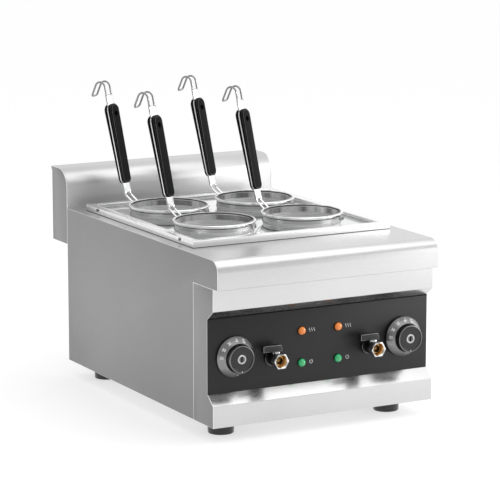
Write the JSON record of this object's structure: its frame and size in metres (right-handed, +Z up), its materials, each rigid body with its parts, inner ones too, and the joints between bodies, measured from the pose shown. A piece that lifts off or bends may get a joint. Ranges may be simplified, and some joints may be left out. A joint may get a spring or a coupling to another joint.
{
  "type": "pasta cooker",
  "caption": "Countertop electric pasta cooker: stainless casing with hot-water wells, lift-out round baskets with hooked grips, dials, lamps and drain taps.",
  "frame": {"origin": "middle of the outline on the floor, under the feet", "axes": "+Z up, -Y towards the user at the control panel, +X to the right of the user"},
  "size_m": [0.4, 0.618, 0.5115],
  "materials": {
    "casing_steel": "satin",
    "polished_steel": "polished",
    "dark_steel": "satin",
    "plated": "polished",
    "panel_black": "satin",
    "black_plastic": "satin",
    "foot_rubber": "gloss",
    "lens_orange": "gloss",
    "lens_green": "gloss",
    "copper": "satin",
    "pale_plastic": "matte"
  },
  "bodies": {
    "base": {"left_side_panel": "casing_steel", "right_side_panel": "casing_steel", "top_cover": "casing_steel", "front_fascia": "casing_steel", "control_panel": "panel_black", "back_panel": "casing_steel", "base_plate": "casing_steel", "splashback": "casing_steel", "splashback_ends": "casing_steel", "tray_frame": "polished_steel", "basket_plate": "polished_steel", "frame_screws": "dark_steel", "well_left": "casing_steel", "well_right": "casing_steel", "false_bottom_left": "casing_steel", "false_bottom_right": "casing_steel", "element_left": "dark_steel", "element_right": "dark_steel", "thermostat_left": "pale_plastic", "thermostat_right": "pale_plastic", "thermostat_bulbs": "copper", "dial_ring_left": "black_plastic", "dial_ring_right": "black_plastic", "lamp_lenses_heat": "lens_orange", "lamp_lenses_power": "lens_green", "lamp_bodies": "pale_plastic", "valve_body_left": "plated", "valve_body_right": "plated", "valve_nuts": "plated", "drain_pipes": "casing_steel", "terminal_block": "pale_plastic", "cable_gland": "black_plastic", "feet": "foot_rubber", "foot_bolts": "dark_steel"},
    "basket_front_left": {"front_left_cup": "polished_steel", "front_left_rim": "polished_steel", "front_left_handle": "polished_steel", "front_left_grip": "black_plastic"},
    "basket_front_right": {"front_right_cup": "polished_steel", "front_right_rim": "polished_steel", "front_right_handle": "polished_steel", "front_right_grip": "black_plastic"},
    "basket_back_left": {"back_left_cup": "polished_steel", "back_left_rim": "polished_steel", "back_left_handle": "polished_steel", "back_left_grip": "black_plastic"},
    "basket_back_right": {"back_right_cup": "polished_steel", "back_right_rim": "polished_steel", "back_right_handle": "polished_steel", "back_right_grip": "black_plastic"},
    "left_knob": {"knob_left": "black_plastic", "spindle_left": "plated"},
    "right_knob": {"knob_right": "black_plastic", "spindle_right": "plated"},
    "left_lever": {"valve_lever_left": "black_plastic", "valve_ball_left": "plated"},
    "right_lever": {"valve_lever_right": "black_plastic", "valve_ball_right": "plated"}
  },
  "joints": [
    {"name": "basket_front_left_lift", "type": "slide", "parent": "base", "child": "basket_front_left", "axis": [0, 0, 1], "range_m": [0, 0.2]},
    {"name": "basket_front_right_lift", "type": "slide", "parent": "base", "child": "basket_front_right", "axis": [0, 0, 1], "range_m": [0, 0.2]},
    {"name": "basket_back_left_lift", "type": "slide", "parent": "base", "child": "basket_back_left", "axis": [0, 0, 1], "range_m": [0, 0.2]},
    {"name": "basket_back_right_lift", "type": "slide", "parent": "base", "child": "basket_back_right", "axis": [0, 0, 1], "range_m": [0, 0.2]},
    {"name": "left_knob_turn", "type": "hinge", "parent": "base", "child": "left_knob", "pos_m": [-0.1535, -0.273, 0.1323], "axis": [0, 1, 0], "range_deg": [0, 270]},
    {"name": "right_knob_turn", "type": "hinge", "parent": "base", "child": "right_knob", "pos_m": [0.1535, -0.273, 0.1323], "axis": [0, 1, 0], "range_deg": [0, 270]},
    {"name": "left_lever_turn", "type": "hinge", "parent": "base", "child": "left_lever", "pos_m": [-0.0883, -0.291, 0.1236], "axis": [0, 0, 1], "range_deg": [0, 90]},
    {"name": "right_lever_turn", "type": "hinge", "parent": "base", "child": "right_lever", "pos_m": [0.0883, -0.291, 0.1236], "axis": [0, 0, 1], "range_deg": [0, 90]}
  ]
}
